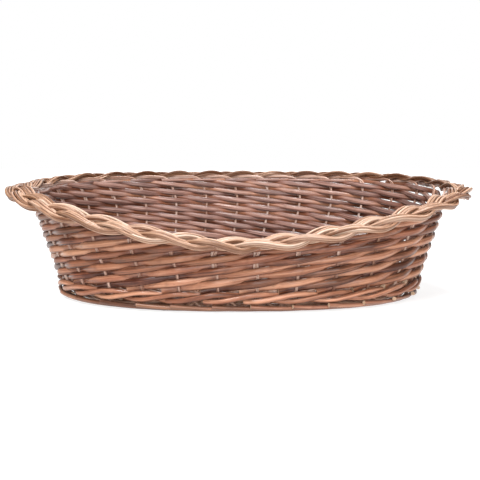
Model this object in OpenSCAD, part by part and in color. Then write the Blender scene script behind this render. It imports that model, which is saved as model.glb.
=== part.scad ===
// Oval wicker pet bed: a woven base, flaring stake-and-strand sides that dip at the front,
// and a three-strand plaited border. Millimetres, +Z up. The origin is on the floor, under the
// middle of the outer outline. The long axis is X and the low entrance faces -Y.

/* [Base] */
// Half length of the ring of side stakes at floor level
base_half_length = 260; // [220:1:300]
// Half width of the ring of side stakes at floor level
base_half_width = 174; // [150:1:200]
// Squareness of the oval: 2 is an ellipse, more is fuller at the corners
oval_power = 2.32; // [2:0.02:2.6]
// Number of long sticks through the middle of the base
long_stick_count = 5; // [3:2:5]
// Diameter of a long base stick
long_stick_d = 7; // [5:0.5:7]
// Number of short sticks across the base
cross_stick_count = 7; // [5:1:7]
// Diameter of a short base stick
cross_stick_d = 10; // [9.5:0.5:10]
// Diameter of the rods woven round the base sticks
base_rod_d = 4.4; // [3.6:0.2:4.6]

/* [Sides] */
// Number of side stakes
stake_count = 29; // [27:1:31]
// Diameter of a side stake
stake_d = 4.4; // [3.6:0.2:4.6]
// Diameter of the thinner stake added beside each one
bye_stake_d = 3.6; // [3:0.2:3.8]
// Outward lean of the end walls from vertical
end_flare = 17.2; // [14:0.2:20]
// Outward lean of the long walls from vertical
side_flare = 18.8; // [14:0.2:20]
// Diameter of a weaving rod at its thick end
rod_butt_d = 8; // [7:0.1:8]
// How much thinner a weaving rod is after each stake that it passes
rod_taper = 0.1; // [0.05:0.01:0.12]
// Diameter of the waling rods at the foot of the sides
wale_rod_d = 5.6; // [4.6:0.2:5.6]
// Diameter of the rods in the foot border
foot_rod_d = 4.6; // [4:0.2:4.6]

/* [Rim] */
// Height of the border's inner edge at the middle of the front
front_height = 105; // [95:1:120]
// Height of the border's inner edge at the two ends
end_height = 168; // [155:1:178]
// Height of the border's inner edge at the middle of the back
back_height = 181; // [170:1:192]
// Width of the plaited border from edge to edge
border_width = 38; // [36:1:42]
// Thickness of the plaited border
border_thickness = 16; // [15.5:0.5:17]
// Downward tilt of the border's outer edge
border_tilt = 8; // [5:1:15]
// How far the middle of the border stands outside the stakes
border_overhang = 19; // [18:1:24]
// Number of full repeats of the plait round the rim
plait_repeats = 10; // [9:1:11]

/* [Hidden] */
$fn = 32;
BASE_Y = -13.3;            // the base sits forward of the middle, because the back flares out further
BASE_Z = 12;               // middle height of the base sticks
LONG_PITCH = 9;            // spacing of the long sticks
CROSS_SPREAD = 72;         // the outermost cross sticks lie this far from the middle
FAN_ANGLE = 30;            // angle between two long sticks where they fan out at an end
FAN_START = 50;            // the extra end sticks start this far from where the fan opens
STICK_REACH = 152;         // and all sticks end this far from it, or from the middle line
SLOT_GAP = 0.2;            // clearance of the long sticks in the slots of the cross sticks
BASE_RING_PITCH = 16;      // spacing of the rings on one face of the base
BASE_STRAIGHT = 84;        // half length of the base's straight middle, where the fans open
BASE_RING_R = 159;         // end radius of the outermost base ring
BASE_RING_MIN = 26;        // no base ring has a smaller end radius
WALK_Z = 70;               // height at which the stakes are evenly spaced
WALK_STEP = 3;             // degrees between the points of that measurement
STAKE_PHASE = 0.4;         // first stake's place, in stake spacings from the middle of the front
BACK_SHIFT = 0.24;         // further shift of the stakes at the back, in stake spacings
PAIR_OFFSET = 2.2;         // how far a stake and its bye-stake stand to either side of their middle
STAKE_FOOT_Z = 8;          // lower end of the side stakes
BYE_DEPTH = 46;            // the bye-stakes reach this far below the border's inner edge
STAKE_DROP = 18;           // the stakes end this far below the border's inner edge
WEAVE_DROP = 23;           // and the weaving this far below it
WEAVE_OUT = 7.9;           // a weaving rod's distance from the stakes' middle line
ROW_Z = 32.2;              // height of the lowest weaving row
ROW_PITCH = 8.5;           // rise from one row to the next at the bottom
ROW_SHRINK = 0.05;         // and how the rise falls off with the square of the row number
MAX_ROWS = 24;
MIN_RUN = 2;               // a rod passes at least this many stakes
WALE_OUT = 6.6;
WALE_PATH = [[1, 13.4], [1, 25.4], [-1, 19.4]];    // side of the stake and height, by turns
FOOT_PATH = [[10.2, 8.4], [5.2, 5.2], [0, 0], [-3, 0]]; // distance out and height along a foot rod
FOOT_STEPS = [0, 1, 2, 2.5];                       // and the stake spacings at which they lie
PLAIT_STEPS = 9;           // rings of points along each repeat of the plait
STRAND_W = 12;
STRAND_T = 5.4;
HEX_FLAT = cos(30);        // a hexagon's flat is this much nearer its middle than its corners

// A point on the oval of the given half sizes, at parameter angle u
function signed_pow(v, p) = sign(v) * pow(abs(v), p);
function oval(u, a, b) =
    [a * signed_pow(cos(u), 2 / oval_power), b * signed_pow(sin(u), 2 / oval_power)];

// A point on the wall's middle surface, moved outward by "out"
function wall(u, z, out = 0) =
    let (p = oval(u, base_half_length + z * tan(end_flare) + out,
                  base_half_width + z * tan(side_flare) + out))
    [p[0], p[1] + BASE_Y, z];

// Height of the border's inner edge: low in front, rising to the ends and a little to the back
function rim(u) =
    let (v = sin(u))
    v > 0 ? end_height + (back_height - end_height) * (1 - pow(1 - v, 1.7))
          : front_height + (end_height - front_height) * pow(1 - v * v, 0.66);

// Distance walked round the wall from the middle of the front, against the parameter angle
walk = [for (u = -90, s = 0; u <= 270;
             s = s + norm(wall(u + WALK_STEP, WALK_Z) - wall(u, WALK_Z)), u = u + WALK_STEP) [s, u]];
walk_total = walk[len(walk) - 1][0];
stake_pitch = walk_total / stake_count;

// Parameter angle of a place given in stake numbers, which may run past one turn
function stake_u(k) =
    let (s = (k + STAKE_PHASE) * stake_pitch,
         shifted = s + BACK_SHIFT * stake_pitch * (1 - cos(360 * s / walk_total)) / 2,
         turns = floor(shifted / walk_total))
    lookup(shifted - turns * walk_total, walk) + 360 * turns;

// Directions of the border's width (outward and down) and of its thickness, at angle u
function outward(u) = let (d = wall(u, 0, 10) - wall(u, 0, 0)) d / norm(d);
function border_across(u) = cos(border_tilt) * outward(u) - [0, 0, sin(border_tilt)];
function border_up(u) = sin(border_tilt) * outward(u) + [0, 0, cos(border_tilt)];
border_drop = border_width / 2 * sin(border_tilt) + border_thickness / 2 * cos(border_tilt);
function border_middle(u) = wall(u, rim(u) - border_drop, border_overhang);

// A straight round bar between two points
module bar(p, q, d) {
    v = q - p;
    translate(p) rotate([0, acos(v[2] / norm(v)), atan2(v[1], v[0])]) cylinder(h = norm(v), d = d);
}

// A six-sided rod through a list of points, with a diameter for each, resting on its flats
module rod(path, diameters) {
    n = len(path);
    rings = [for (i = [0:n - 1])
        let (along = path[min(i + 1, n - 1)] - path[max(i - 1, 0)],
             side = cross(along, [0, 0, 1]) / norm(cross(along, [0, 0, 1])),
             up = cross(side, along) / norm(along))
        for (j = [0:5])
            path[i] + diameters[i] / 2 * (cos(60 * j) * side + sin(60 * j) * up)];
    walls = [for (i = [0:n - 2]) for (j = [0:5])
        let (a = 6 * i + j, b = 6 * i + (j + 1) % 6)
        each [[a, b + 6, a + 6], [a, b, b + 6]]];
    ends = [[for (j = [5:-1:0]) j], [for (j = [0:5]) 6 * (n - 1) + j]];
    polyhedron(points = rings, faces = concat(walls, ends), convexity = 6);
}

// A closed flat strand that runs round the rim, weaving across and through the border
module plait_strand(number) {
    steps = plait_repeats * PLAIT_STEPS;
    across = (border_width - STRAND_W) / 2;
    through = (border_thickness - STRAND_T) / 2;
    points = [for (i = [0:steps - 1])
        let (u = plait_u(i / steps),
             phase = 360 * i / PLAIT_STEPS + 120 * number,
             middle = border_middle(u) + across * sin(phase) * border_across(u)
                      + through * sin(2 * phase) * border_up(u))
        for (j = [0:7])
            middle + STRAND_W / 2 * cos(45 * j) * border_across(u)
                   + STRAND_T / 2 * sin(45 * j) * border_up(u)];
    faces = [for (i = [0:steps - 1]) for (j = [0:7])
        let (a = 8 * i + j, b = 8 * i + (j + 1) % 8,
             c = (8 * (i + 1) + j) % (8 * steps), d = (8 * (i + 1) + (j + 1) % 8) % (8 * steps))
        each [[a, b, d], [a, d, c]]];
    polyhedron(points = points, faces = faces, convexity = 10);
}
// Parameter angle of a place round the rim, as a share of the whole way
function plait_u(share) = lookup(share * walk_total, walk);

// One closed ring of the base weave: two straight runs joined by half circles
module base_ring(radius, z) {
    translate([0, BASE_Y, z]) {
        for (turn = [0, 180])
            rotate([0, 0, turn]) {
                translate([BASE_STRAIGHT, 0, 0]) rotate([0, 0, -90])
                    rotate_extrude(angle = 180) translate([radius, 0]) circle(d = base_rod_d);
                translate([-BASE_STRAIGHT, radius, 0]) rotate([0, 90, 0])
                    cylinder(h = 2 * BASE_STRAIGHT, d = base_rod_d);
            }
    }
}

// The long sticks lie side by side in the middle and fan out at both ends
function fan_tip(angle, end) =
    [end * (BASE_STRAIGHT + STICK_REACH * cos(angle)), BASE_Y + STICK_REACH * sin(angle), BASE_Z];
module base_long_sticks() {
    color("#8f6a4e")
    for (i = [0:long_stick_count - 1]) {
        place = i - (long_stick_count - 1) / 2;
        y = BASE_Y + place * LONG_PITCH;
        rod([fan_tip(place * FAN_ANGLE, -1), [-BASE_STRAIGHT, y, BASE_Z],
             [BASE_STRAIGHT, y, BASE_Z], fan_tip(place * FAN_ANGLE, 1)],
            [for (k = [0:3]) long_stick_d]);
    }
}

// Short sticks pushed in between the fanned ends
module base_fan_sticks() {
    color("#946e52")
    for (end = [-1, 1]) for (i = [0.5:1:long_stick_count - 1.5]) {
        angle = (i - (long_stick_count - 1) / 2) * FAN_ANGLE;
        middle = [end * BASE_STRAIGHT, BASE_Y, BASE_Z];
        tip = fan_tip(angle, end);
        bar(middle + (tip - middle) * FAN_START / STICK_REACH, tip, long_stick_d);
    }
}

// Thicker short sticks, each split so that the long sticks pass through it
module base_cross_sticks() {
    slot_w = (long_stick_count - 1) * LONG_PITCH + long_stick_d + 2 * SLOT_GAP;
    slot_h = long_stick_d + 2 * SLOT_GAP;
    color("#84604a")
    for (i = [0:cross_stick_count - 1]) {
        x = CROSS_SPREAD * (2 * i / (cross_stick_count - 1) - 1);
        difference() {
            bar([x, BASE_Y - STICK_REACH, BASE_Z], [x, BASE_Y + STICK_REACH, BASE_Z], cross_stick_d);
            translate([x, BASE_Y, BASE_Z]) cube([2 * cross_stick_d, slot_w, slot_h], center = true);
        }
    }
}

module base_weave_under() {
    z = BASE_Z - (cross_stick_d + base_rod_d) / 2;
    color("#a77d5c")
    for (r = [BASE_RING_R:-BASE_RING_PITCH:BASE_RING_MIN]) base_ring(r, z);
}

module base_weave_over() {
    z = BASE_Z + (cross_stick_d + base_rod_d) / 2;
    color("#b0876a")
    for (r = [BASE_RING_R - BASE_RING_PITCH / 2:-BASE_RING_PITCH:BASE_RING_MIN]) base_ring(r, z);
}

// Rods that each start with a cut end outside a stake and slope down to the floor
module foot_border() {
    rest = foot_rod_d / 2 * HEX_FLAT;
    color("#b98f70")
    for (k = [0:stake_count - 1])
        rod([for (i = [0:len(FOOT_STEPS) - 1])
                wall(stake_u(k + FOOT_STEPS[i]), max(FOOT_PATH[i][1], rest), FOOT_PATH[i][0])],
            [for (i = [0:len(FOOT_STEPS) - 1]) foot_rod_d]);
}

// A stake leans with the wall; "side" puts it to one side of its pair's middle
module stake(k, low, d, side) {
    u = stake_u(k);
    out = outward(u);
    shift = side * PAIR_OFFSET * [-out[1], out[0], 0];
    bar(wall(u, low) + shift, wall(u, rim(u) - STAKE_DROP) + shift, d);
}

module side_stakes() {
    color("#9c7355")
    for (k = [0:stake_count - 1]) stake(k, STAKE_FOOT_Z, stake_d, 1);
}

module bye_stakes() {
    color("#a87f60")
    for (k = [0:stake_count - 1]) stake(k, rim(stake_u(k)) - BYE_DEPTH, bye_stake_d, -1);
}

// A waling rod passes outside two stakes and inside the third, once round
module wale_strand(number) {
    path = [for (k = [0:stake_count - 1])
        let (turn = WALE_PATH[(k + number) % 3])
        wall(stake_u(k), turn[1], WALE_OUT * turn[0])];
    color("#a97e60") rod(path, [for (p = path) wale_rod_d]);
}

// The side weave: a rod goes outside one stake and inside the next, rising one row at each
function row_z(row) = ROW_Z + ROW_PITCH * row - ROW_SHRINK * row * row;
function fits(k, row) = row_z(row) <= rim(stake_u(k + row)) - WEAVE_DROP;
function run(k, row) = row < MAX_ROWS && fits(k, row) ? 1 + run(k, row + 1) : 0;
module weave_rod(k, first, count) {
    rows = [for (row = [first:first + count - 1]) row];
    rod([for (row = rows) wall(stake_u(k + row), row_z(row), WEAVE_OUT * (row % 2 == 0 ? -1 : 1))],
        [for (row = rows) rod_butt_d - rod_taper * row]);
}
module weave_rods(quarter) {
    color("#a4795b")
    for (k = [floor(quarter * stake_count / 4):floor((quarter + 1) * stake_count / 4) - 1])
        weave_rod(k, 0, run(k, 0));
}

// Shorter rods that start where the rim rises again beyond the low front
module packing_rods() {
    color("#ae8465")
    for (k = [0:stake_count - 1]) for (row = [1:MAX_ROWS - 1])
        if (!fits(k, row - 1) && run(k, row) >= MIN_RUN) weave_rod(k, row, run(k, row));
}

module border_strand(number) {
    color("#d9b896") plait_strand(number);
}

base_long_sticks();
base_fan_sticks();
base_cross_sticks();
base_weave_under();
base_weave_over();
foot_border();
side_stakes();
bye_stakes();
wale_strand(0);  // wale_strand_1
wale_strand(1);  // wale_strand_2
wale_strand(2);  // wale_strand_3
weave_rods(0);  // weave_rods_front
weave_rods(1);  // weave_rods_right
weave_rods(2);  // weave_rods_back
weave_rods(3);  // weave_rods_left
packing_rods();
border_strand(0);  // border_strand_1
border_strand(1);  // border_strand_2
border_strand(2);  // border_strand_3
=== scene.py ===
"""Oval wicker pet bed. Every willow rod is its own tapering tube, woven where the CAD frame has it."""
import math

import bpy
import numpy as np
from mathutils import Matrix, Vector


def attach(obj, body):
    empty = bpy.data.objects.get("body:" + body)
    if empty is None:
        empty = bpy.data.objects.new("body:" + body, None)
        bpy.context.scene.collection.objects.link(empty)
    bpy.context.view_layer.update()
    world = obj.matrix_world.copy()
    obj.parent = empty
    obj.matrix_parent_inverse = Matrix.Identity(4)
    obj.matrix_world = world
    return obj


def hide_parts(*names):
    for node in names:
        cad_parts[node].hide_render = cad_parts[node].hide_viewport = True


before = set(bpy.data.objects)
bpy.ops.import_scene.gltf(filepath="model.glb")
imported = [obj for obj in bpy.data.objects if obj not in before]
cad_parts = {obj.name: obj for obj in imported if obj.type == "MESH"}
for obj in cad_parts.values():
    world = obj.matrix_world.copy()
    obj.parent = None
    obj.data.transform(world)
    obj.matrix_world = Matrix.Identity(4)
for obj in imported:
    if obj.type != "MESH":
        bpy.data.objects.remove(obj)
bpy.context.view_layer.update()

MM = 0.001
rng = np.random.default_rng(29)

# ---------------------------------------------------------------- the basket's shape, in metres
HALF_LENGTH = 260 * MM         # ring of side stakes at floor level
HALF_WIDTH = 174 * MM
OVAL_POWER = 2.32
END_LEAN = math.tan(math.radians(17.2))
SIDE_LEAN = math.tan(math.radians(18.8))
BASE_Y = -13.3 * MM
BASE_Z = 12 * MM               # middle height of the base sticks
FRONT_HEIGHT = 105 * MM        # height of the border's inner edge, by place
END_HEIGHT = 168 * MM
BACK_HEIGHT = 181 * MM
STAKE_COUNT = 29
STAKE_PHASE = 0.4
BACK_SHIFT = 0.24
WALK_Z = 70 * MM               # the stakes are evenly spaced at this height
UP = np.array([0.0, 0.0, 1.0])


def oval(u, a, b):
    """Points of a superellipse with half sizes a and b, at parameter angles u."""
    c, s = np.cos(u), np.sin(u)
    x = a * np.sign(c) * np.abs(c) ** (2 / OVAL_POWER)
    y = b * np.sign(s) * np.abs(s) ** (2 / OVAL_POWER)
    return x, y


def wall(u, z, out=0.0):
    """Points on the middle of the leaning side at height z, moved outward by out."""
    u, z, out = np.broadcast_arrays(u, z, out)
    x, y = oval(u, HALF_LENGTH + z * END_LEAN + out, HALF_WIDTH + z * SIDE_LEAN + out)
    return np.stack([x, y + BASE_Y, z], -1)


def rim(u):
    """Height of the border's inner edge: low in front, rising to the ends and a little to the back."""
    v = np.sin(u)
    back = END_HEIGHT + (BACK_HEIGHT - END_HEIGHT) * (1 - np.clip(1 - v, 0, 1) ** 1.7)
    front = FRONT_HEIGHT + (END_HEIGHT - FRONT_HEIGHT) * np.clip(1 - v * v, 0, 1) ** 0.66
    return np.where(v > 0, back, front)


WALK_U = np.radians(np.linspace(-90, 270, 1441))
WALK_S = np.concatenate([[0], np.cumsum(np.linalg.norm(np.diff(wall(WALK_U, WALK_Z), axis=0), axis=1))])
WALK_TOTAL = WALK_S[-1]
STAKE_PITCH = WALK_TOTAL / STAKE_COUNT


def walked_u(s):
    """Parameter angle after walking a distance s round the wall from the middle of the front."""
    turns = np.floor(s / WALK_TOTAL)
    return np.interp(s - turns * WALK_TOTAL, WALK_S, WALK_U) + 2 * np.pi * turns


def stake_u(k):
    """Parameter angle of a place given in stake numbers."""
    s = (np.asarray(k, float) + STAKE_PHASE) * STAKE_PITCH
    return walked_u(s + BACK_SHIFT * STAKE_PITCH * (1 - np.cos(2 * np.pi * s / WALK_TOTAL)) / 2)


def outward(u):
    """Level unit vectors that point out of the side."""
    d = wall(u, 0.0, 0.01) - wall(u, 0.0)
    return d / np.linalg.norm(d, axis=-1, keepdims=True)


def through(keys, values, t):
    """A smooth curve through values at the rising keys, read at t."""
    keys, values = np.asarray(keys, float), np.asarray(values, float)
    slopes = np.gradient(values, keys)
    i = np.clip(np.searchsorted(keys, t, "right") - 1, 0, len(keys) - 2)
    h = keys[i + 1] - keys[i]
    x = (t - keys[i]) / h
    return ((1 + 2 * x) * (1 - x) ** 2 * values[i] + x * (1 - x) ** 2 * h * slopes[i]
            + x * x * (3 - 2 * x) * values[i + 1] + x * x * (x - 1) * h * slopes[i + 1])


def wander(s, size, lengths=(0.31, 0.14, 0.07)):
    """A slow random drift of about the given size along distances s."""
    total = np.zeros_like(s)
    for length in lengths:
        total += np.sin(2 * np.pi * s / length + rng.uniform(0, 6.28)) * rng.uniform(0.3, 1)
    return size * total / len(lengths)


# ---------------------------------------------------------------- rods
ROD_DRIFT = 0.045              # share by which a rod's radius drifts along it
OUT_OF_ROUND = 0.03
GIRTH = (0.93, 1.06)           # rods of one kind differ in radius within these shares
KNOT_LENGTH = 3.2 * MM
KNOT_SWELL = (0.05, 0.13)      # share by which a rod is thicker at a knot
KNOT_FIRST = (0.01, 0.07)      # distance of the first knot from the butt, and of each from the last
KNOT_NEXT = (0.045, 0.11)
KNOT_SHADE = 0.3               # a knot is this dark, where the painted crease shade at its darkest is 1
# painted shade and reflection: the inner faces of the side's rods get a mauve tint for the shade and the
# room's reflection inside the basket
PAINTED_INNER_DEPTH = 7 * MM           # the side's rods turn from their outer colour to a painted inner tint over this depth,
PAINTED_INNER_START = 0.35             # with this share of the tint at the stakes' middle line


class Rods:
    """Willow rods gathered into one mesh, with each rod's own coordinates and tone as attributes, and its
    painted crease shade and painted inner tint.
    """

    def __init__(self, name):
        self.name = name
        self.points, self.grain, self.rod, self.faces, self.smooth = [], [], [], [], []
        self.count = 0

    def add(self, path, radius, tone=0.5, sides=10, across=UP, flat=1.0, knots=True, cut=0.35,
            crease=(0.5, 0, 5), inside=None):
        """One rod along a path. across is roughly at right angles to it; flat stretches its height.

        crease is the painted shade of the grooves where the rod touches its neighbours: how dark they are,
        the angle from its height to them, and how narrow they are. inside, for a rod of the side, is how far
        outside the stakes it runs: its inner faces get a painted tint for the shade and reflection inside
        the basket.
        """
        n = len(path)
        along = np.gradient(path, axis=0)
        step = np.linalg.norm(along, axis=1)
        along /= step[:, None]
        s = np.concatenate([[0], np.cumsum(np.linalg.norm(np.diff(path, axis=0), axis=1))])
        across = np.broadcast_to(across, path.shape)
        up = across - np.sum(across * along, 1, keepdims=True) * along
        up /= np.linalg.norm(up, axis=1, keepdims=True)
        side = np.cross(along, up)
        radius = np.broadcast_to(radius, n) * (1 + wander(s, ROD_DRIFT))
        angle = 2 * np.pi * (np.arange(sides) + rng.uniform()) / sides
        swell, knot = self.knots(s, angle) if knots else (np.ones((n, sides)), np.zeros(n))
        ring_r = radius[:, None] * swell * (1 + OUT_OF_ROUND * np.cos(2 * angle + rng.uniform(0, 6)))
        cos, sin = ring_r * np.cos(angle), ring_r * np.sin(angle) * flat
        rings = path[:, None] + cos[..., None] * side[:, None] + sin[..., None] * up[:, None]
        for end in (0, -1):
            slope = cut * rng.uniform(0.3, 1.4) * np.cos(angle + rng.uniform(0, 6.28))
            rings[end] += (slope * radius[end])[:, None] * along[end]
        offset = rng.uniform(0, 9, 3)
        grain = np.stack([np.broadcast_to(s[:, None], cos.shape), cos, sin], -1) + offset
        marks = np.zeros((n, sides, 4))
        marks[..., 0] = np.reshape(tone, (-1, 1))
        marks[..., 1] = rng.uniform()
        # painted shade and reflection: how far each point is on the inner face, for its painted tint
        if inside is not None:
            inner = np.clip(PAINTED_INNER_START - (inside[:, None] + cos) / PAINTED_INNER_DEPTH, 0, 1)
            marks[..., 1] = marks[..., 1] * (1 - inner) - inner
        # painted shade: the faces where the rod touches its neighbours are darkened for the shade in the
        # creases; a knot keeps its own dark
        groove_shade = np.abs(np.cos(angle - math.pi / 2 - crease[1])) ** crease[2]
        marks[..., 2] = np.maximum(KNOT_SHADE * knot[:, None], crease[0] * groove_shade)
        self.tube(rings, grain, marks)

    @staticmethod
    def knots(s, angle):
        """Swelling at the leaf joints, mostly on one face of the rod, and how near each ring is to one."""
        swell, near = np.ones((len(s), len(angle))), np.zeros(len(s))
        place = rng.uniform(*KNOT_FIRST)
        while place < s[-1]:
            bump = np.exp(-((s - place) / KNOT_LENGTH) ** 2)
            face = 0.35 + 0.65 * np.clip(np.cos(angle - rng.uniform(0, 6.28)), 0, 1)
            swell += rng.uniform(*KNOT_SWELL) * bump[:, None] * face
            near = np.maximum(near, bump)
            place += rng.uniform(*KNOT_NEXT)
        return swell, near

    def tube(self, rings, grain, marks):
        """Adds the rod's skin and its two cut faces."""
        n, sides = rings.shape[:2]
        first = self.count
        self.points.append(rings.reshape(-1, 3))
        self.grain.append(grain.reshape(-1, 3))
        self.rod.append(marks.reshape(-1, 4))
        a = first + (np.arange(n - 1)[:, None] * sides + np.arange(sides)).ravel()
        b = first + (np.arange(n - 1)[:, None] * sides + (np.arange(sides) + 1) % sides).ravel()
        self.faces.extend(np.stack([a, b, b + sides, a + sides], 1).tolist())
        self.smooth.extend([True] * len(a))
        self.count += n * sides
        for end, order in ((0, -1), (-1, 1)):
            self.points.append(rings[end])
            self.grain.append(grain[end])
            cut_marks = marks[end].copy()
            cut_marks[:, 3] = 1
            self.rod.append(cut_marks)
            self.faces.append((self.count + np.arange(sides))[::order].tolist())
            self.smooth.append(False)
            self.count += sides

    def finish(self, node, material):
        """Makes the mesh object, which rides on the basket in place of its CAD node."""
        mesh = bpy.data.meshes.new(self.name)
        mesh.from_pydata(np.concatenate(self.points).tolist(), [], self.faces)
        mesh.polygons.foreach_set("use_smooth", self.smooth)
        grain = mesh.attributes.new("grain", "FLOAT_VECTOR", "POINT")
        grain.data.foreach_set("vector", np.concatenate(self.grain).astype(np.float32).ravel())
        rod = mesh.attributes.new("rod", "FLOAT_COLOR", "POINT")
        rod.data.foreach_set("color", np.concatenate(self.rod).astype(np.float32).ravel())
        mesh.materials.append(material)
        piece = bpy.data.objects.new(self.name, mesh)
        bpy.context.scene.collection.objects.link(piece)
        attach(piece, "root")
        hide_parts(node)


# ---------------------------------------------------------------- willow
# painted shade and reflection: the tint of the side rods' inner faces, dark and light along the streaks
PAINTED_INNER_DARK, PAINTED_INNER_LIGHT = (0.26, 0.13, 0.105), (0.72, 0.50, 0.45)
PITH_DARK, PITH_LIGHT = (0.42, 0.27, 0.17), (0.66, 0.47, 0.33)
FIBRE_DARK, WHITE, BLACK = (0.62, 0.58, 0.56), (1, 1, 1), (0, 0, 0)


def willow(name, dark, middle, light, warm, coat=0.5, bark=1.0):
    """Bark-brown willow: streaks along each rod, mottling, specks, darker knots and pale cut ends, with
    painted shade in the creases between rods and a painted tint on the side rods' inner faces.
    """
    material = bpy.data.materials.new(name)
    material.use_nodes = True
    tree = material.node_tree
    tree.nodes.clear()

    def feed(socket, value):
        """Links another node's output to a socket, or sets the socket's own value."""
        if isinstance(value, bpy.types.NodeSocket):
            tree.links.new(value, socket)
        else:
            socket.default_value = value

    def node(kind, **settings):
        """A new node. A setting is a property of it, or an input by its name or by its number, as in i0."""
        made = tree.nodes.new(kind)
        for key, value in settings.items():
            numbered = key[0] == "i" and key[1:].isdigit()
            if hasattr(made, key):
                setattr(made, key, value)
            else:
                feed(made.inputs[int(key[1:]) if numbered else key], value)
        return made

    def stretched_noise(scale, detail=3.0, distortion=0.0):
        """Noise in a rod's own coordinates; scale is along it and across it, per metre."""
        mapping = node("ShaderNodeMapping", vector_type="POINT", i0=grain, i3=scale)
        made = node("ShaderNodeTexNoise", Vector=mapping.outputs[0], Scale=1.0, Detail=detail,
                    Roughness=0.6, Distortion=distortion)
        return made.outputs["Fac"]

    def ramp(fac, *stops):
        """Colours at places between 0 and 1, read at fac."""
        made = node("ShaderNodeValToRGB", Fac=fac)
        elements = made.color_ramp.elements
        while len(elements) < len(stops):
            elements.new(0.5)
        for element, (place, colour) in zip(elements, stops):
            element.position = place
            element.color = (*colour, 1)
        return made.outputs["Color"]

    def mix(fac, a, b, blend="MIX"):
        """Colour a turning to b as fac goes from 0 to 1."""
        made = node("ShaderNodeMix", data_type="RGBA", blend_type=blend)
        for place, value in ((0, fac), (6, a), (7, b)):
            feed(made.inputs[place], (*value, 1) if isinstance(value, tuple) else value)
        return made.outputs[2]

    def maths(operation, a, b=0.5, c=0.5):
        """The result of a sum on one, two or three values."""
        return node("ShaderNodeMath", operation=operation, i0=a, i1=b, i2=c).outputs[0]

    grain = node("ShaderNodeAttribute", attribute_name="grain").outputs["Vector"]
    marks = node("ShaderNodeAttribute", attribute_name="rod")
    parts = node("ShaderNodeSeparateColor", Color=marks.outputs["Color"])
    # the third mark holds a knot's dark and the painted crease shade; the second holds warm patches and the
    # painted inner tint
    tone, warm_patches_and_painted_inner, knot = parts.outputs[0], parts.outputs[1], parts.outputs[2]
    cut = marks.outputs["Alpha"]

    # each layer of noise is far longer along the rod than across it
    streaks = stretched_noise((9, 520, 520), detail=4)
    fibres = stretched_noise((45, 1700, 1700), detail=3)
    mottle = stretched_noise((26, 95, 95), detail=4, distortion=0.4)
    drift = stretched_noise((5.5, 30, 30), detail=1)
    specks = stretched_noise((240, 900, 900), detail=2)

    # how light each point is: streaks and mottling, the rod's own tone, and a slow drift along it
    shade = maths("MULTIPLY_ADD", streaks, 1.5, maths("MULTIPLY_ADD", mottle, 0.9, -0.73))
    shade = maths("ADD", shade, maths("MULTIPLY_ADD", tone, 0.62, -0.31))
    shade = maths("ADD", shade, maths("MULTIPLY_ADD", drift, 0.5, -0.25))
    colour = ramp(shade, (0.08, dark), (0.46, middle), (0.92, light))
    # the second mark: above 0 it warms a rod in patches; below 0 it is how far the point is on the inner
    # face, which gets a painted tint for the shade and reflection inside the basket
    warmth = maths("MULTIPLY", maths("MAXIMUM", warm_patches_and_painted_inner, 0), maths("MULTIPLY_ADD", drift, 1.6, -0.45))
    colour = mix(maths("MULTIPLY", warmth, 0.6), colour, warm)
    inner = maths("MAXIMUM", maths("MULTIPLY", warm_patches_and_painted_inner, -1), 0)
    painted_inner_colour = ramp(streaks, (0.35, PAINTED_INNER_DARK), (0.6, PAINTED_INNER_LIGHT))
    colour = mix(maths("MULTIPLY", inner, 0.6), colour, painted_inner_colour)
    # fine fibres, specks, then the dark of knots and the painted shade of the creases between rods, and the
    # pith at the cut ends
    fibre_shade = ramp(fibres, (0.3, FIBRE_DARK), (0.6, WHITE))
    colour = mix(0.55 * bark, colour, fibre_shade, "MULTIPLY")
    speck_mask = ramp(specks, (0.66, BLACK), (0.72, WHITE))
    colour = mix(maths("MULTIPLY", speck_mask, 0.35 * bark), colour, tuple(0.45 * c for c in dark))
    # knots and the painted shade of the creases between rods darken the colour here
    colour = mix(maths("MULTIPLY", knot, 0.8), colour, tuple(0.5 * c for c in dark))
    pith = ramp(stretched_noise((300, 900, 900)), (0.35, PITH_DARK), (0.65, PITH_LIGHT))
    colour = mix(cut, colour, pith)

    rough = ramp(maths("ADD", maths("MULTIPLY", streaks, 0.5), maths("MULTIPLY", mottle, 0.5)),
                 (0.3, (0.36,) * 3), (0.7, (0.6,) * 3))
    height = maths("ADD", maths("MULTIPLY", streaks, 0.7), maths("MULTIPLY", fibres, 0.45))
    height = maths("ADD", height, maths("MULTIPLY", mottle, 0.5))
    bump = node("ShaderNodeBump", Strength=0.55, Distance=0.5 * MM, Height=height)

    shader = node("ShaderNodeBsdfPrincipled")
    tree.links.new(colour, shader.inputs["Base Color"])
    tree.links.new(rough, shader.inputs["Roughness"])
    tree.links.new(bump.outputs[0], shader.inputs["Normal"])
    shader.inputs["Specular IOR Level"].default_value = 0.22
    shader.inputs["Coat Weight"].default_value = coat
    shader.inputs["Coat Roughness"].default_value = 0.2
    output = node("ShaderNodeOutputMaterial")
    tree.links.new(shader.outputs[0], output.inputs[0])
    return material


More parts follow.
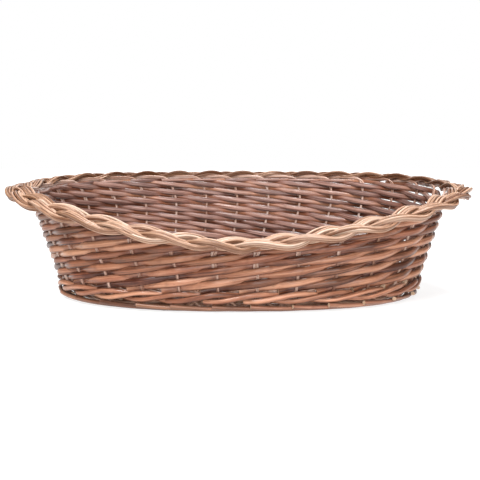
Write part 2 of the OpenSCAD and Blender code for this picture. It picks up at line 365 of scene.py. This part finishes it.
SIDE_WARM = (0.42, 0.22, 0.11)
side_willow = willow("side_willow", (0.075, 0.017, 0.007), (0.34, 0.122, 0.064), (0.66, 0.325, 0.198),
                     SIDE_WARM)
stake_willow = willow("stake_willow", (0.26, 0.11, 0.07), (0.70, 0.44, 0.34), (0.92, 0.70, 0.60),
                      SIDE_WARM)
wale_willow = willow("wale_willow", (0.09, 0.024, 0.010), (0.34, 0.128, 0.069), (0.66, 0.32, 0.195),
                     SIDE_WARM)
foot_willow = willow("foot_willow", (0.07, 0.021, 0.010), (0.26, 0.100, 0.058), (0.50, 0.245, 0.16),
                     SIDE_WARM)
border_willow = willow("border_willow", (0.19, 0.07, 0.03), (0.66, 0.395, 0.27), (0.95, 0.75, 0.60),
                       (0.74, 0.45, 0.25), coat=0.25, bark=0.9)
base_willow = willow("base_willow", (0.15, 0.065, 0.036), (0.38, 0.20, 0.13), (0.58, 0.35, 0.25),
                     SIDE_WARM)
stick_willow = willow("stick_willow", (0.14, 0.06, 0.034), (0.34, 0.175, 0.112), (0.52, 0.31, 0.22),
                      SIDE_WARM)

# ---------------------------------------------------------------- side weave
STAKE_R = 2.2 * MM
BYE_STAKE_R = 1.9 * MM
BYE_DEPTH = 46 * MM            # the bye-stakes reach this far below the border's inner edge
PAIR_OFFSET = 2.2 * MM         # how far a stake and its bye-stake stand to either side of their middle
WEAVE_R = 3.7 * MM             # thick end of a weaving rod
WEAVE_THIN = 0.04 * MM         # thinner by this much after each stake
WEAVE_TALL = 1.46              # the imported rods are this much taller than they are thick
WEAVE_PRESS = 0.5 * MM         # how deep a weaving rod presses into a stake
SWING = STAKE_R + WEAVE_R - WEAVE_PRESS
WEAVE_BEND = 0.93              # near 1 the rods run straight between stakes and bend sharply at them
ROW_Z = 32.2 * MM              # height of the lowest weaving row
ROW_PITCH = 8.5 * MM           # rise from one row to the next at the bottom
ROW_SHRINK = 0.05 * MM         # and how the rise falls off with the square of the row number
WEAVE_DROP = 20 * MM           # a rod starts no row nearer than this to the border's inner edge
WEAVE_LIMIT = 17.8 * MM        # and rises no nearer to it than this
WEAVE_BUTT = 0.42              # a rod's thick end starts this many stakes before its first one
WEAVE_TAIL = 2.3               # and its thin end runs on this many stakes past its last one,
TAIL_THIN = 0.45               # where it loses this share of its radius
# painted shade of the creases between the weaving rods: how dark, the angle from a rod's height, how narrow
WEAVE_CREASE_SHADE = (1, 0, 2.8)
MAX_ROWS = 24
MIN_RUN = 1                    # a packing rod passes at least this many stakes
SAMPLES = 12                   # rings of points between two stakes


def row_z(row):
    """Height of a weaving row."""
    return ROW_Z + ROW_PITCH * row - ROW_SHRINK * row * row


def fits(k, row):
    """Whether rod k still has room under the border at this row."""
    return row_z(row) <= rim(stake_u(k + row)) - WEAVE_DROP


def run(k, row):
    """Number of rows that rod k can pass from this row up to the border."""
    count = 0
    while row + count < MAX_ROWS and fits(k, row + count):
        count += 1
    return count


def weave_rod(rods, k, first, count):
    """Outside one stake and inside the next, rising one row at each, its butt and tip tucked in."""
    last = first + count - 1
    t = np.linspace(first - WEAVE_BUTT, last + WEAVE_TAIL, int(SAMPLES * (count + WEAVE_TAIL)))
    s = t * STAKE_PITCH
    u = stake_u(k + t)
    z = np.minimum(row_z(t) + wander(s, 0.5 * MM), rim(u) - WEAVE_LIMIT)
    turn = np.arcsin(WEAVE_BEND * np.cos(np.pi * t)) / math.asin(WEAVE_BEND)
    out = -SWING * turn * (1 + wander(s, 0.06)) + wander(s, 0.3 * MM)
    radius = (WEAVE_R - WEAVE_THIN * t) * rng.uniform(*GIRTH)
    radius *= 1 - TAIL_THIN * np.clip(t - last, 0, WEAVE_TAIL) / WEAVE_TAIL
    rods.add(wall(u, z, out), radius, tone=rng.uniform(), flat=WEAVE_TALL, crease=WEAVE_CREASE_SHADE,
             inside=out)


for quarter, place in enumerate(("front", "right", "back", "left")):
    rods = Rods(f"weave_rods_{place}_willow")
    for k in range(quarter * STAKE_COUNT // 4, (quarter + 1) * STAKE_COUNT // 4):
        weave_rod(rods, k, 0, run(k, 0))
    rods.finish(f"weave_rods_{place}", side_willow)

rods = Rods("packing_rods_willow")
for k in range(STAKE_COUNT):
    for row in range(1, MAX_ROWS):
        if not fits(k, row - 1) and run(k, row) >= MIN_RUN:
            weave_rod(rods, k, row, run(k, row))
rods.finish("packing_rods", side_willow)

# ---------------------------------------------------------------- stakes
STAKE_BEND = 24 * MM           # the stakes start to bend over this far below the border's inner edge
# the bent tops run on round the rim: stakes walked, depth below the border's inner edge, place outside
BEND_PATH = ((0.1, 15 * MM, 1 * MM), (0.42, 11 * MM, 3 * MM), (0.9, 11 * MM, 9 * MM),
             (1.35, 13 * MM, 16 * MM))
# a side stake comes out of the base and turns up: height and place outside
STAKE_FOOT = ((12 * MM, -34 * MM), (12 * MM, -12 * MM), (15 * MM, -1 * MM), (24 * MM, 0), (50 * MM, 0))
STAKE_THIN = 0.25              # a stake loses this share of its radius from foot to tip


def stake(rods, k, radius, side, foot):
    """A rod that leans with the side, bends over at its top and runs on into the border.

    foot gives the places that it passes below the bend, for the border's height there.
    """
    u = float(stake_u(k))
    top = float(rim(u))
    lean = wander(np.zeros(1), 0.8 * MM)[0]
    keys = [wall(u, z, out) for z, out in (*foot(top), (top - STAKE_BEND, 0))]
    for walked, depth, out in BEND_PATH:
        bent_u = float(stake_u(k + walked))
        keys.append(wall(bent_u, float(rim(bent_u)) - depth + (side - 1) * MM, out))
    keys = np.array(keys)
    length = np.concatenate([[0], np.cumsum(np.linalg.norm(np.diff(keys, axis=0), axis=1))])
    s = np.linspace(0, length[-1], int(length[-1] / (3.5 * MM)))
    path = np.stack([through(length, keys[:, i], s) for i in range(3)], -1)
    out = outward(u)
    tangent = np.array([-out[1], out[0], 0])
    path += (side * PAIR_OFFSET + lean * s / length[-1] + wander(s, 0.25 * MM))[:, None] * tangent
    rods.add(path, radius * (1 - STAKE_THIN * s / length[-1]), tone=rng.uniform(), across=out, sides=9)


def bye_stake_foot(top):
    """A bye-stake starts beside its stake, high in the weaving."""
    return (top - BYE_DEPTH, 0), (top - (BYE_DEPTH + STAKE_BEND) / 2, 0)


rods = Rods("side_stakes_willow")
for k in range(STAKE_COUNT):
    stake(rods, k, STAKE_R, 1, lambda top: STAKE_FOOT)
rods.finish("side_stakes", stake_willow)
rods = Rods("bye_stakes_willow")
for k in range(STAKE_COUNT):
    stake(rods, k, BYE_STAKE_R, -1, bye_stake_foot)
rods.finish("bye_stakes", stake_willow)

# ---------------------------------------------------------------- wale and foot
WALE_R = 3.9 * MM
WALE_TAPER = (1.05, 0.24)      # a waling rod's thick end, and how much thinner its other end is
WALE_OUT = 6.4 * MM
WALE_LOW, WALE_MIDDLE, WALE_HIGH = 15.6 * MM, 20.3 * MM, 25.2 * MM
# side of the stakes and height of a waling rod, every half stake: outside low, outside high, inside
WALE_TURN = ((1, WALE_LOW), (1.12, WALE_MIDDLE), (1, WALE_HIGH),
             (0, 24 * MM), (-1, WALE_MIDDLE), (0, 16 * MM))
WALE_LENGTHS = (6, 6, 6, 6, 5)  # each strand is several rods laid end to end, this many stakes long
WALE_LAP = (0.3, 0.25)         # and they overlap by this many stakes at either end
# painted shade of the creases between the wale's and the foot's rods: how dark, the angle from a rod's
# height, how narrow
LOW_CREASE_SHADE = (1, 0, 3.5)

for number in range(3):
    rods = Rods(f"wale_strand_{number + 1}_willow")
    keys = np.arange(-6, 2 * STAKE_COUNT + 4) / 2
    turns = [WALE_TURN[int(2 * (key + number)) % 6] for key in keys]
    start = -number
    for length in WALE_LENGTHS:
        t = np.linspace(start - WALE_LAP[0], start + length + WALE_LAP[1], SAMPLES * length)
        s = t * STAKE_PITCH
        out = through(keys, [turn[0] * WALE_OUT for turn in turns], t)
        z = through(keys, [turn[1] for turn in turns], t) + wander(s, 0.3 * MM)
        radius = WALE_R * (WALE_TAPER[0] - WALE_TAPER[1] * (t - t[0]) / length)
        rods.add(wall(stake_u(t), z, out), radius, tone=rng.uniform(), crease=LOW_CREASE_SHADE)
        start += length
    rods.finish(f"wale_strand_{number + 1}", wale_willow)

FOOT_R = 2.95 * MM
FOOT_GIRTH = (0.92, 1.03)
FOOT_REST = 3.4 * MM           # height of a foot rod's middle where it lies on the floor
# a foot rod's points: stakes from its own one, place outside, and height
FOOT_AT = (-0.14, 0, 1, 2, 2.6)
FOOT_OUT = (11.2 * MM, 10.5 * MM, 5.3 * MM, 0, -4 * MM)
FOOT_Z = (9.1 * MM, 8.4 * MM, 5.1 * MM, FOOT_REST, FOOT_REST)
FOOT_START = (-0.05, 0.08)     # the cut ends lie unevenly by this many stakes
rods = Rods("foot_border_willow")
for k in range(STAKE_COUNT):
    t = np.linspace(FOOT_AT[0] + rng.uniform(*FOOT_START), FOOT_AT[-1], 3 * SAMPLES)
    z = np.maximum(through(FOOT_AT, FOOT_Z, t), FOOT_REST)
    out = through(FOOT_AT, FOOT_OUT, t)
    radius = FOOT_R * rng.uniform(*FOOT_GIRTH)
    rods.add(wall(stake_u(k + t), z, out), radius, tone=rng.uniform(), cut=0.2, crease=LOW_CREASE_SHADE)
rods.finish("foot_border", foot_willow)

# ---------------------------------------------------------------- plaited border
BORDER_WIDTH = 38 * MM
BORDER_THICKNESS = 16 * MM
BORDER_TILT = math.radians(8)
BORDER_OVERHANG = 19 * MM      # how far the middle of the border stands outside the stakes
PLAIT_REPEATS = 10
PLAIT_LIFT = 4.2 * MM          # how far a strand rises and dips as it passes over and under the others
BORDER_ROD_R = 2.2 * MM
BORDER_TAPER = (1.06, 0.18)    # a border rod's thick end, and how much thinner its other end is
BORDER_ROD_PITCH = 4.6 * MM
BORDER_ROD_STEP = 3 * MM       # spacing of the rings of points along a border rod
STRAND_LAYERS = ((4, 1.7 * MM), (3, -1.9 * MM))  # rods side by side in a strand, and their height in it
BORDER_RUNS = 6                # rods laid end to end round the rim in each place of a strand
BORDER_LAP = 1.035             # each is this much longer than its share, to overlap the next
PLAIT_LONGER = 1.12            # a rod in the plait is this much longer than the way round the wall
BORDER_TUCK = 32 * MM          # length over which a rod's end sinks into its strand,
TUCK_IN, TUCK_THIN = 0.8, 0.7  # and the shares by which it moves in and thins out there
BORDER_TONE = (0.1, 0.95)
BORDER_PAINTED_SHADE = 0.6             # painted shade: the border's rods are palest at the front and darker towards the ends and the back, which face away from the light
# painted shade of the creases at the sides of the border's rods, where they lie side by side
BORDER_CREASE_SHADE = (1, math.pi / 2, 5)
STRAND_WIDTH = 3 * BORDER_ROD_PITCH + 2 * BORDER_ROD_R
BORDER_DROP = BORDER_WIDTH / 2 * math.sin(BORDER_TILT) + BORDER_THICKNESS / 2 * math.cos(BORDER_TILT)


def border_frame(u):
    """Middle of the border, and the directions of its width and of its thickness."""
    out = outward(u)
    across = math.cos(BORDER_TILT) * out - math.sin(BORDER_TILT) * UP
    up = math.sin(BORDER_TILT) * out + math.cos(BORDER_TILT) * UP
    return wall(u, rim(u) - BORDER_DROP, BORDER_OVERHANG), across, up


def plait_rod(rods, number, lane, layer, start, length):
    """One rod of a strand; both its ends thin out and sink between the others."""
    share = start + np.linspace(0, length, int(length * WALK_TOTAL * PLAIT_LONGER / BORDER_ROD_STEP))
    middle, across, up = border_frame(walked_u(share * WALK_TOTAL))
    phase = 2 * np.pi * (PLAIT_REPEATS * share + number / 3)
    s = share * WALK_TOTAL
    swing = (BORDER_WIDTH - STRAND_WIDTH) / 2 * np.sin(phase) + wander(s, 0.8 * MM)
    lift = PLAIT_LIFT * np.sin(2 * phase) + wander(s, 0.3 * MM)
    centre = middle + swing[:, None] * across + lift[:, None] * up
    along = np.gradient(centre, axis=0)
    sideways = np.cross(up, along)
    sideways /= np.linalg.norm(sideways, axis=1, keepdims=True)
    place = lane * BORDER_ROD_PITCH + wander(s, 0.5 * MM)
    sunk = np.clip(1 - np.minimum(s - s[0], s[-1] - s) / BORDER_TUCK, 0, 1) ** 1.5
    place *= 1 - TUCK_IN * sunk
    height = layer * (1 - sunk) + wander(s, 0.35 * MM)
    path = centre + place[:, None] * sideways + height[:, None] * up
    taper = BORDER_TAPER[0] - BORDER_TAPER[1] * (share - start) / length
    radius = BORDER_ROD_R * taper * (1 - TUCK_THIN * sunk)
    # painted shade: the tone falls away from the front, for the shade on the ends and the back of the border
    front = np.clip(-np.sin(walked_u(s)), 0, 1)
    tone = rng.uniform(*BORDER_TONE) - BORDER_PAINTED_SHADE * (1 - front)
    rods.add(path, radius, tone=tone, across=up, sides=9, crease=BORDER_CREASE_SHADE)


for number in range(3):
    rods = Rods(f"border_strand_{number + 1}_willow")
    for count, layer in STRAND_LAYERS:
        for lane in range(count):
            first = rng.uniform()
            for part in range(BORDER_RUNS):
                start = first + part / BORDER_RUNS
                plait_rod(rods, number, lane - (count - 1) / 2, layer, start, BORDER_LAP / BORDER_RUNS)
    rods.finish(f"border_strand_{number + 1}", border_willow)

# ---------------------------------------------------------------- base
BASE_STRAIGHT = 84 * MM        # half length of the base's straight middle, where the fans open
LONG_PITCH = 9 * MM            # spacing of the long sticks
LONG_R = 3.9 * MM
FAN_R = 0.97 * LONG_R
CROSS_R = 5 * MM
CROSS_STEP = 24 * MM           # spacing of the cross sticks
CROSS_REACH = 155 * MM         # and how far they reach to either side
STICK_REACH = 158 * MM         # the long and fan sticks end this far from where the fan opens
FAN_START = 48 * MM
FAN_STEP = math.radians(15)    # angle between neighbouring sticks of the fan
STICK_SIDES = 12
SLOT_REACH = 2 * LONG_PITCH + LONG_R + 5 * MM
SPLIT_LAP = 4 * MM             # the two halves of a split cross stick run on into its whole ends by this
SPLIT_BOW = 8 * MM             # length over which they part
SPLIT_RINGS = 15
SPLIT_FLAT = 0.36
BASE_ROD_R = 2.5 * MM
BASE_ROUNDS = 27
BASE_INNER_R = 25 * MM         # end radius of the innermost round
BASE_MARGIN = 8 * MM           # the outermost round lies this far inside the stakes
EDGE_ROD_R = 3.2 * MM          # the round that closes the base's edge, its place inside the stakes,
EDGE_MARGIN = 13 * MM
EDGE_LIFT = 6 * MM             # and its height from the middle of the base


def fan_point(angle, reach, end):
    """A point on a stick of the fan at one end of the base."""
    x = end * (BASE_STRAIGHT + reach * math.cos(angle))
    return np.array([x, BASE_Y + reach * math.sin(angle), BASE_Z])


def smooth_line(points, step=5 * MM):
    """A path that follows a few points with rounded bends."""
    points = np.asarray(points, float)
    length = np.concatenate([[0], np.cumsum(np.linalg.norm(np.diff(points, axis=0), axis=1))])
    s = np.linspace(0, length[-1], int(length[-1] / step) + 2)
    line = np.stack([np.interp(s, length, points[:, i]) for i in range(3)], -1)
    for _ in range(4):
        line[1:-1] = (line[:-2] + 2 * line[1:-1] + line[2:]) / 4
    return line


rods = Rods("base_long_sticks_willow")
for i in range(-2, 3):
    y = BASE_Y + i * LONG_PITCH
    line = smooth_line([fan_point(i * 2 * FAN_STEP, STICK_REACH, -1), (-BASE_STRAIGHT, y, BASE_Z),
                        (BASE_STRAIGHT, y, BASE_Z), fan_point(i * 2 * FAN_STEP, STICK_REACH, 1)])
    rods.add(line, LONG_R, tone=rng.uniform(), sides=STICK_SIDES)
rods.finish("base_long_sticks", stick_willow)

rods = Rods("base_fan_sticks_willow")
for end in (-1, 1):
    for i in (-3, -1, 1, 3):
        angle = i * FAN_STEP
        line = smooth_line([fan_point(angle, FAN_START, end), fan_point(angle, STICK_REACH, end)])
        rods.add(line, FAN_R, tone=rng.uniform(), sides=STICK_SIDES)
rods.finish("base_fan_sticks", stick_willow)

rods = Rods("base_cross_sticks_willow")
for i in range(-3, 4):
    x = i * CROSS_STEP
    tone = rng.uniform()
    for end in (-1, 1):
        line = smooth_line([(x, BASE_Y + end * SLOT_REACH, BASE_Z), (x, BASE_Y + end * CROSS_REACH, BASE_Z)])
        rods.add(line, CROSS_R * 0.96, tone=tone, sides=STICK_SIDES)
        y = np.linspace(-SLOT_REACH - SPLIT_LAP, SLOT_REACH + SPLIT_LAP, SPLIT_RINGS)
        bow = np.clip((SLOT_REACH + SPLIT_LAP - np.abs(y)) / SPLIT_BOW, 0, 1) ** 0.7
        z = BASE_Z + end * (2.2 * MM + 2.7 * MM * bow)
        half = np.stack([np.full(SPLIT_RINGS, x), BASE_Y + y, z], -1)
        rods.add(half, CROSS_R * 0.9, tone=tone, sides=STICK_SIDES, flat=SPLIT_FLAT, knots=False)
rods.finish("base_cross_sticks", stick_willow)


def stick_phase(x, y):
    """Rises by one from each base stick to the next along a round; x and y are from the base's middle."""
    x, y = np.abs(x), np.abs(y)
    reach = np.hypot(x - BASE_STRAIGHT, y)
    angle = np.arctan2(y, np.maximum(x - BASE_STRAIGHT, 1e-9))
    last = 3 * CROSS_STEP
    straight = np.where(x <= last, x / CROSS_STEP, 3 + 0.3 * (x - last) / (BASE_STRAIGHT - last))
    opening = 3.3 + 0.7 * (math.pi / 2 - angle) / (2 * FAN_STEP)
    fan = 4 + (4 * FAN_STEP - angle) / np.where(reach < FAN_START, 2 * FAN_STEP, FAN_STEP)
    return np.where(x <= BASE_STRAIGHT, straight, np.where(angle > 4 * FAN_STEP, opening, fan))


def base_round(rods, share, over):
    """One closed round over and under the sticks, from the slath (share 0) out to the stakes (1)."""
    around = np.linspace(0, 1, 900)
    straight, bend = 2 * BASE_STRAIGHT, math.pi * BASE_INNER_R
    d = 2 * (straight + bend) * around
    sign = np.where(d % (2 * (straight + bend)) < straight + bend, 1, -1)
    d %= straight + bend
    turn = np.clip(d - BASE_STRAIGHT, 0, bend) / BASE_INNER_R
    past = np.clip(d - BASE_STRAIGHT - bend, 0, None)
    x = np.minimum(d, BASE_STRAIGHT) + BASE_INNER_R * np.sin(turn) - past
    y = -BASE_INNER_R * np.cos(turn)
    inner = np.stack([sign * x, sign * y], -1)
    outer = wall(walked_u(around * WALK_TOTAL), BASE_Z, -BASE_MARGIN)[:, :2] - (0, BASE_Y)
    flat = inner * (1 - share) + outer * share
    phase = stick_phase(flat[:, 0], flat[:, 1])
    near_end = np.clip((np.abs(flat[:, 0]) - 3 * CROSS_STEP) / (20 * MM), 0, 1)
    lift = BASE_ROD_R - 0.2 * MM + CROSS_R + (LONG_R - CROSS_R) * near_end
    z = BASE_Z + (1 if over else -1) * lift * np.cos(np.pi * phase)
    line = np.stack([flat[:, 0], flat[:, 1] + BASE_Y, z], -1)
    length = np.concatenate([[0], np.cumsum(np.linalg.norm(np.diff(line, axis=0), axis=1))])
    s = np.linspace(0, length[-1], int(length[-1] / (4 * MM)))
    line = np.stack([np.interp(s, length, line[:, i]) for i in range(3)], -1)
    line += wander(s, 0.35 * MM)[:, None] * UP
    start = int(rng.integers(len(line)))
    line = np.concatenate([line[start:-1], line[:start + 4]])
    rods.add(line, BASE_ROD_R * rng.uniform(*GIRTH), tone=rng.uniform(), sides=8)


def edge_round(rods, z):
    """A thicker round that closes the edge of the base, just inside the stakes; its darkest tone is painted
    shade for the gap where it shows between the wale and the foot.
    """
    s = np.linspace(0, WALK_TOTAL * 1.01, 420) + rng.uniform(0, WALK_TOTAL)
    path = wall(walked_u(s), z + wander(s, 0.5 * MM), -EDGE_MARGIN + wander(s, 0.6 * MM))
    # painted shade: tone 0, the darkest, stands in for the shade in that gap
    rods.add(path, EDGE_ROD_R, tone=0.0)


for over, node in ((False, "base_weave_under"), (True, "base_weave_over")):
    rods = Rods(f"{node}_willow")
    for i in range(int(over), BASE_ROUNDS, 2):
        base_round(rods, i / (BASE_ROUNDS - 1), over)
    edge_round(rods, BASE_Z + (EDGE_LIFT if over else -EDGE_LIFT))
    rods.finish(node, base_willow)

# ---------------------------------------------------------------- floor, light and camera
FLOOR_RADIUS = 14
FLOOR_SIDES = 96
FLOOR_Z = -0.0002              # just clear of the foot
FLOOR_GLOW = 0.8
AMBIENT = 0.22                 # light from the white room on the basket; the camera sees it as full white
floor_mesh = bpy.data.meshes.new("floor")
corners = [(FLOOR_RADIUS * math.cos(a), FLOOR_RADIUS * math.sin(a), FLOOR_Z)
           for a in np.linspace(0, 2 * math.pi, FLOOR_SIDES, endpoint=False)]
floor_mesh.from_pydata(corners, [], [list(range(len(corners)))])
floor = bpy.data.objects.new("floor", floor_mesh)
bpy.context.scene.collection.objects.link(floor)
floor_material = bpy.data.materials.new("pale_floor")
floor_material.use_nodes = True
floor_shader = floor_material.node_tree.nodes["Principled BSDF"]
floor_shader.inputs["Base Color"].default_value = (0.35, 0.35, 0.35, 1)
floor_shader.inputs["Emission Color"].default_value = (1, 1, 1, 1)
# the floor glows a little, like a lit white table, except in the dark under the basket
floor_nodes, floor_links = floor_material.node_tree.nodes, floor_material.node_tree.links
floor_place = floor_nodes.new("ShaderNodeTexCoord")
footprint = floor_nodes.new("ShaderNodeMapping")
footprint.inputs["Location"].default_value = (0, -BASE_Y / HALF_WIDTH, 0)
footprint.inputs["Scale"].default_value = (1 / HALF_LENGTH, 1 / HALF_WIDTH, 0)
reach = floor_nodes.new("ShaderNodeVectorMath")
reach.operation = "LENGTH"
glow = floor_nodes.new("ShaderNodeMapRange")
glow.inputs["From Min"].default_value = 0.9
glow.inputs["To Max"].default_value = FLOOR_GLOW
floor_links.new(floor_place.outputs["Object"], footprint.inputs["Vector"])
floor_links.new(footprint.outputs["Vector"], reach.inputs[0])
floor_links.new(reach.outputs["Value"], glow.inputs["Value"])
floor_links.new(glow.outputs["Result"], floor_shader.inputs["Emission Strength"])
floor_shader.inputs["Roughness"].default_value = 0.9
floor_shader.inputs["Specular IOR Level"].default_value = 0.1
floor_mesh.materials.append(floor_material)

world = bpy.data.worlds.new("studio")
world.use_nodes = True
sky = world.node_tree
seen = sky.nodes.new("ShaderNodeLightPath")
level = sky.nodes.new("ShaderNodeMapRange")
level.inputs["To Min"].default_value = AMBIENT
sky.links.new(seen.outputs["Is Camera Ray"], level.inputs["Value"])
sky.links.new(level.outputs["Result"], sky.nodes["Background"].inputs["Strength"])
sky.nodes["Background"].inputs["Color"].default_value = (1, 1, 1, 1)
bpy.context.scene.world = world


def soft_sun(name, azimuth, elevation, strength, spread):
    """A wide, soft distant light; azimuth 0 shines from the front."""
    light = bpy.data.lights.new(name, "SUN")
    light.energy = strength
    light.angle = math.radians(spread)
    lamp = bpy.data.objects.new(name, light)
    a, e = math.radians(azimuth), math.radians(elevation)
    source = Vector((math.sin(a) * math.cos(e), -math.cos(a) * math.cos(e), math.sin(e)))
    lamp.rotation_euler = source.to_track_quat("Z", "Y").to_euler()
    bpy.context.scene.collection.objects.link(lamp)


soft_sun("key_light", -22, 46, 1.9, 12)
soft_sun("top_light", 165, 76, 2.3, 16)
soft_sun("front_fill", 6, 12, 2.1, 45)
soft_sun("back_fill", 175, 25, 0.7, 45)
bpy.context.scene.view_settings.view_transform = "Standard"

camera_data = bpy.data.cameras.new("camera")
camera_data.lens = 53.8
camera = bpy.data.objects.new("camera", camera_data)
camera.location = (-0.0038, -1.1226, 0.201)
camera.rotation_euler = (math.radians(83.58), 0, math.radians(-0.26))
bpy.context.scene.collection.objects.link(camera)
bpy.context.scene.camera = camera
